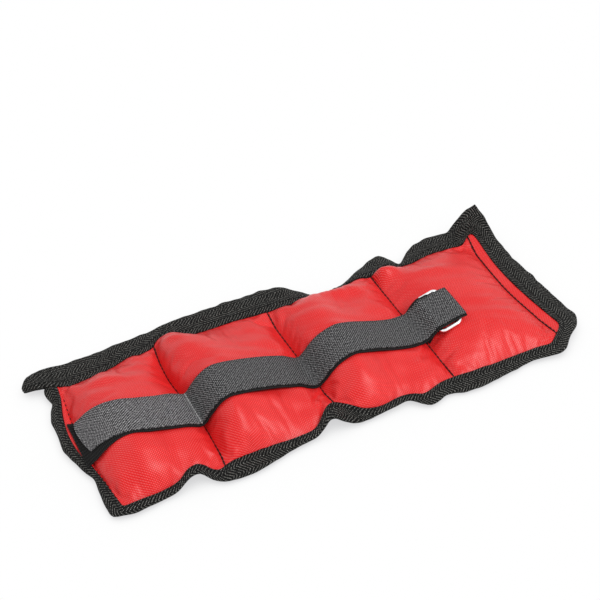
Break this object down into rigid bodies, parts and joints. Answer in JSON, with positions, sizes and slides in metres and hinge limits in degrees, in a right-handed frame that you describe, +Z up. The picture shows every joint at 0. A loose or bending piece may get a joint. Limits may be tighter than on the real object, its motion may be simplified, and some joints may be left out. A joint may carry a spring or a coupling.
{
  "type": "ankle cuff weight",
  "caption": "Flat ankle weight: sand-filled pockets with stitched fold lines between them, bound in tape, closed by a strap and a ring.",
  "frame": {"origin": "on the surface the cuff lies on, under the middle of its outline", "axes": "+X along the cuff from the strap's sewn root to the free end, +Y across it, +Z up, out of the strap side"},
  "size_m": [0.31, 0.12, 0.0245],
  "materials": {
    "red_nylon": "satin",
    "red_lining": "matte",
    "inner_bag": "matte",
    "iron_sand": "matte",
    "black_binding": "matte",
    "black_thread": "matte",
    "grey_loop_tape": "matte",
    "black_webbing": "matte",
    "ring_metal": "polished"
  },
  "bodies": {
    "panel_1": {"binding_far_1": "black_binding", "binding_left": "black_binding", "binding_near_1": "black_binding", "binding_tail": "black_binding", "closing_stitches_left": "black_thread", "cover_1": "red_nylon", "inner_bag_1": "inner_bag", "iron_sand_1": "iron_sand", "lining_1": "red_lining", "strap_root": "black_webbing", "strap_root_stitches": "black_thread"},
    "panel_2": {"binding_far_2": "black_binding", "binding_near_2": "black_binding", "cover_2": "red_nylon", "fold_stitches_a": "black_thread", "fold_stitches_b": "black_thread", "inner_bag_2": "inner_bag", "iron_sand_2": "iron_sand", "lining_2": "red_lining"},
    "panel_3": {"binding_far_3": "black_binding", "binding_near_3": "black_binding", "cover_3": "red_nylon", "fold_stitches_c": "black_thread", "inner_bag_3": "inner_bag", "iron_sand_3": "iron_sand", "lining_3": "red_lining"},
    "panel_4": {"binding_far_4": "black_binding", "binding_near_4": "black_binding", "binding_right": "black_binding", "closing_stitches_right": "black_thread", "cover_4": "red_nylon", "inner_bag_4": "inner_bag", "iron_sand_4": "iron_sand", "lining_4": "red_lining", "ring_tab": "black_webbing"},
    "strap_1": {"strap_back_1": "black_webbing", "strap_face_1": "grey_loop_tape"},
    "strap_2": {"strap_back_2": "black_webbing", "strap_face_2": "grey_loop_tape"},
    "strap_3": {"strap_back_3": "black_webbing", "strap_face_3": "grey_loop_tape"},
    "strap_4": {"strap_back_4": "black_webbing", "strap_face_4": "grey_loop_tape"},
    "ring": {"ring": "ring_metal"}
  },
  "joints": [
    {"name": "fold_a", "type": "hinge", "parent": "panel_2", "child": "panel_1", "pos_m": [-0.077, 0, 0.004], "axis": [0, -1, 0], "range_deg": [-40, 85]},
    {"name": "fold_b", "type": "hinge", "parent": "panel_2", "child": "panel_3", "pos_m": [-0.007, 0, 0.004], "axis": [0, 1, 0], "range_deg": [-40, 85]},
    {"name": "fold_c", "type": "hinge", "parent": "panel_3", "child": "panel_4", "pos_m": [0.064, 0, 0.004], "axis": [0, 1, 0], "range_deg": [-40, 85]},
    {"name": "strap_lift", "type": "hinge", "parent": "panel_1", "child": "strap_1", "pos_m": [-0.137, -0.0125, 0.0085], "axis": [0, -1, 0], "range_deg": [0, 135]},
    {"name": "strap_bend_a", "type": "hinge", "parent": "strap_1", "child": "strap_2", "pos_m": [-0.077, -0.0125, 0.004], "axis": [0, 1, 0], "range_deg": [-40, 85]},
    {"name": "strap_bend_b", "type": "hinge", "parent": "strap_2", "child": "strap_3", "pos_m": [-0.007, -0.0125, 0.004], "axis": [0, 1, 0], "range_deg": [-40, 85]},
    {"name": "strap_bend_c", "type": "hinge", "parent": "strap_3", "child": "strap_4", "pos_m": [0.064, -0.0125, 0.004], "axis": [0, 1, 0], "range_deg": [-40, 85]},
    {"name": "ring_tilt", "type": "hinge", "parent": "panel_4", "child": "ring", "pos_m": [0.0711, -0.0125, 0.01472], "axis": [0, -1, 0], "range_deg": [0, 81]}
  ],
  "couplings": [
    {"joint": "strap_bend_a", "follows": "fold_a", "ratio": 1},
    {"joint": "strap_bend_b", "follows": "fold_b", "ratio": 1},
    {"joint": "strap_bend_c", "follows": "fold_c", "ratio": 1},
    {"joint": "ring_tilt", "follows": "strap_lift", "ratio": 0.6}
  ]
}
